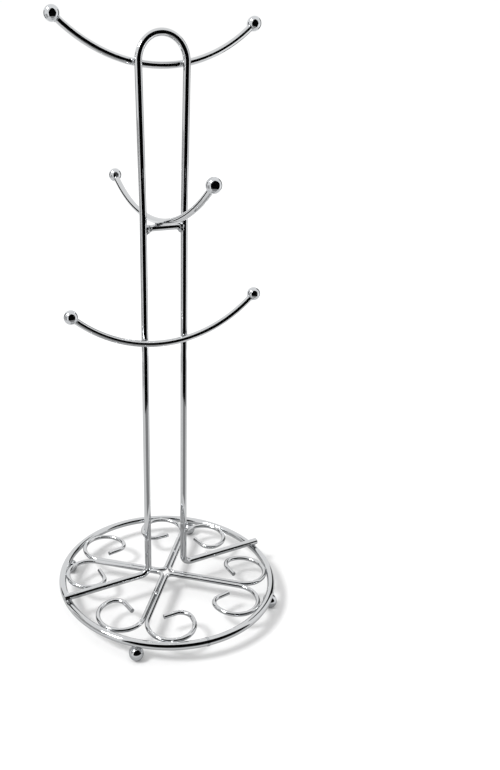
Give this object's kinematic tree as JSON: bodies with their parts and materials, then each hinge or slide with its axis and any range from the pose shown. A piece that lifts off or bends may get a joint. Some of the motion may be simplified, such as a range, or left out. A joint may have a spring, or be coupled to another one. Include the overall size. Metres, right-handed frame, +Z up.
{
  "type": "mug tree",
  "caption": "Chrome wire mug tree: a hairpin post on a round scrollwork base with ball feet, and curved arms with ball ends that mugs hang from.",
  "frame": {"origin": "on the table under the centre of the base ring", "axes": "+Z up; X along the two foot bars and the top and bottom arms; Y along the middle arm, with -Y the side that the bottom arm is on"},
  "size_m": [0.156, 0.155, 0.3874],
  "materials": {
    "chrome_wire": "bright nickel-chrome plating on drawn mild steel wire",
    "chrome_ball": "bright nickel-chrome plating on turned steel balls",
    "plated_weld": "weld metal under the same plating, slightly duller and uneven"
  },
  "bodies": {
    "root": {"ball_foot_back_left": "chrome_ball", "ball_foot_back_right": "chrome_ball", "ball_foot_front_left": "chrome_ball", "ball_foot_front_right": "chrome_ball", "base_ring": "chrome_wire", "bottom_arm": "chrome_wire", "bottom_arm_welds": "plated_weld", "bottom_ball_left": "chrome_ball", "bottom_ball_right": "chrome_ball", "cross_bar": "chrome_wire", "cross_bar_welds": "plated_weld", "foot_bar_welds": "plated_weld", "foot_welds": "plated_weld", "middle_arm": "chrome_wire", "middle_arm_weld": "plated_weld", "middle_ball_back": "chrome_ball", "middle_ball_front": "chrome_ball", "ring_seam": "plated_weld", "scroll_welds": "plated_weld", "scroll_wire_back": "chrome_wire", "scroll_wire_front": "chrome_wire", "scroll_wire_left": "chrome_wire", "scroll_wire_right": "chrome_wire", "spoke_welds": "plated_weld", "top_arm": "chrome_wire", "top_arm_welds": "plated_weld", "top_ball_left": "chrome_ball", "top_ball_right": "chrome_ball", "upright_frame": "chrome_wire"}
  },
  "joints": []
}
